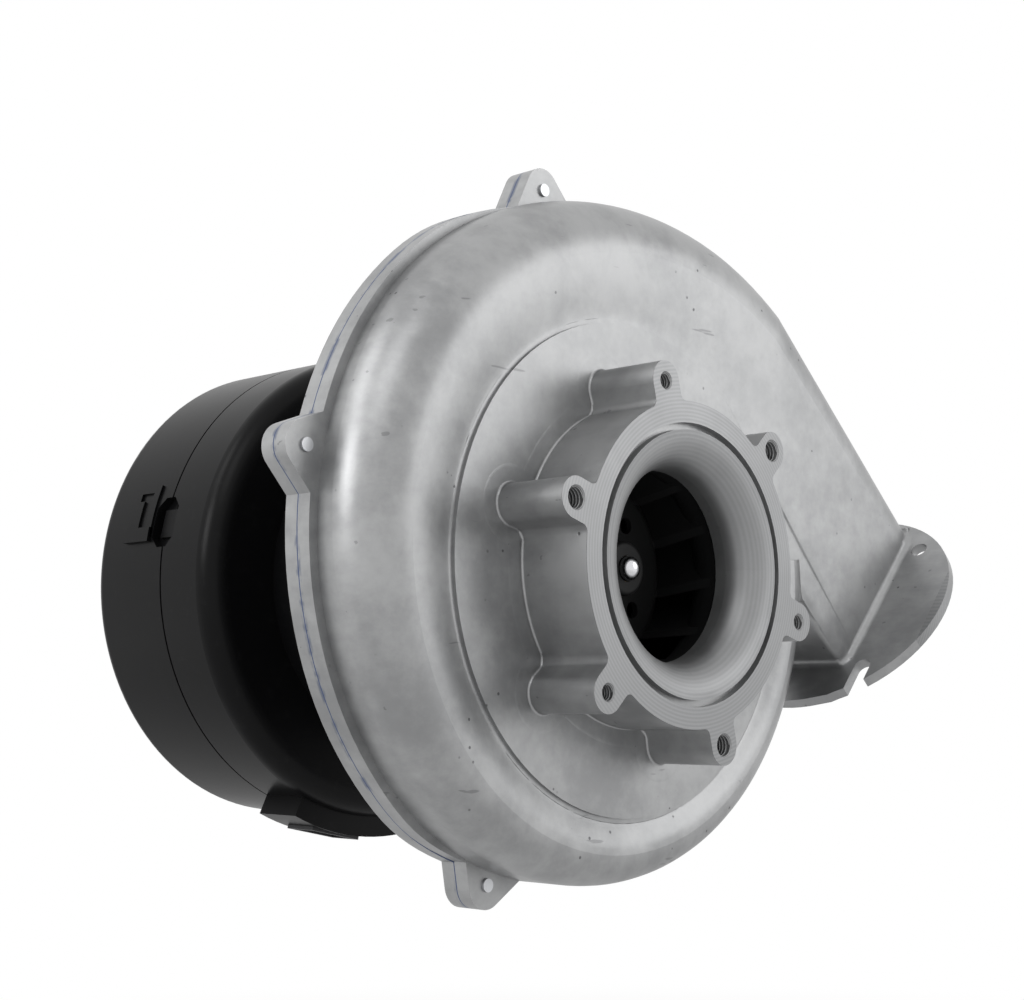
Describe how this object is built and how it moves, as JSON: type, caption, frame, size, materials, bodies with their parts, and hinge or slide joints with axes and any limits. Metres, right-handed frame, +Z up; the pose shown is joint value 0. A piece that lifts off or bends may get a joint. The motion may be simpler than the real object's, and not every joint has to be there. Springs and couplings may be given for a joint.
{
  "type": "boiler blower",
  "caption": "Radial fan for a boiler: die-cast scroll with a lugged inlet ring and a round outlet flange, and a motor with an electronics drum behind it.",
  "frame": {"origin": "centre of the inlet ring's front face, on the shaft axis", "axes": "+Y along the shaft from the inlet to the motor, +Z up, +X to the right seen from the inlet"},
  "size_m": [0.3048, 0.2091, 0.2402],
  "materials": {
    "cast_metal": "satin die-cast, lightly mottled",
    "sealant": "blue silicone bead",
    "zinc_steel": "zinc plated",
    "seal_rubber": "black rubber",
    "damper_rubber": "black rubber",
    "motor_black": "satin black",
    "spring_steel": "spring steel",
    "bearing_steel": "ground steel",
    "ball_steel": "polished",
    "cage_plastic": "brown polyamide",
    "lamination": "stacked sheet steel",
    "insulator_plastic": "white insulator",
    "copper": "enamelled copper",
    "shaft_steel": "polished steel",
    "spacer_brass": "turned brass",
    "magnet": "coated magnet",
    "impeller_plastic": "dark grey moulding",
    "shroud_plastic": "dark grey moulding",
    "drum_plastic": "satin black moulding",
    "board": "green lacquer",
    "capacitor_sleeve": "dark sleeve",
    "ferrite": "ferrite",
    "chip_black": "moulded package",
    "sink_aluminium": "extruded",
    "socket_plastic": "dark grey moulding",
    "pin_brass": "tinned brass"
  },
  "bodies": {
    "housing": {"bearing_spring": "spring_steel", "board_screws": "zinc_steel", "capacitors": "capacitor_sleeve", "casing_screws": "zinc_steel", "casing_sealant": "sealant", "choke_core": "ferrite", "choke_winding": "copper", "circuit_board": "board", "cover_clips": "motor_black", "cover_seal": "seal_rubber", "electronics_cover": "drum_plastic", "electronics_tray": "drum_plastic", "end_shield": "motor_black", "front_bearing_outer": "bearing_steel", "front_casing": "cast_metal", "heat_sink": "sink_aluminium", "lead_grommet": "seal_rubber", "motor_controller": "chip_black", "motor_housing": "motor_black", "motor_leads": "copper", "mount_dampers": "damper_rubber", "mount_screws": "zinc_steel", "power_module": "chip_black", "power_socket": "socket_plastic", "rear_bearing_outer": "bearing_steel", "rear_casing": "cast_metal", "shaft_seal": "seal_rubber", "signal_socket": "socket_plastic", "socket_pins": "pin_brass", "stator_core": "lamination", "stator_insulators": "insulator_plastic", "stator_windings": "copper", "tray_screws": "zinc_steel"},
    "rotor": {"shaft": "shaft_steel", "retaining_ring": "spring_steel", "shaft_spacers": "spacer_brass", "rotor_core": "lamination", "rotor_magnets": "magnet", "rotor_sleeve": "spring_steel", "impeller_wheel": "impeller_plastic", "impeller_shroud": "shroud_plastic", "impeller_bush": "spacer_brass", "front_bearing_inner": "bearing_steel", "rear_bearing_inner": "bearing_steel"},
    "front_race": {"front_balls": "ball_steel", "front_cage": "cage_plastic"},
    "rear_race": {"rear_balls": "ball_steel", "rear_cage": "cage_plastic"}
  },
  "joints": [
    {"name": "rotor_spin", "type": "hinge", "parent": "housing", "child": "rotor", "pos_m": [0, 0.09, 0], "axis": [0, 1, 0], "continuous": true},
    {"name": "front_race_spin", "type": "hinge", "parent": "housing", "child": "front_race", "pos_m": [0, 0.0745, 0], "axis": [0, 1, 0], "continuous": true},
    {"name": "rear_race_spin", "type": "hinge", "parent": "housing", "child": "rear_race", "pos_m": [0, 0.129, 0], "axis": [0, 1, 0], "continuous": true}
  ],
  "couplings": [
    {"joint": "front_race_spin", "follows": "rotor_spin", "ratio": 0.3667},
    {"joint": "rear_race_spin", "follows": "rotor_spin", "ratio": 0.3667}
  ]
}
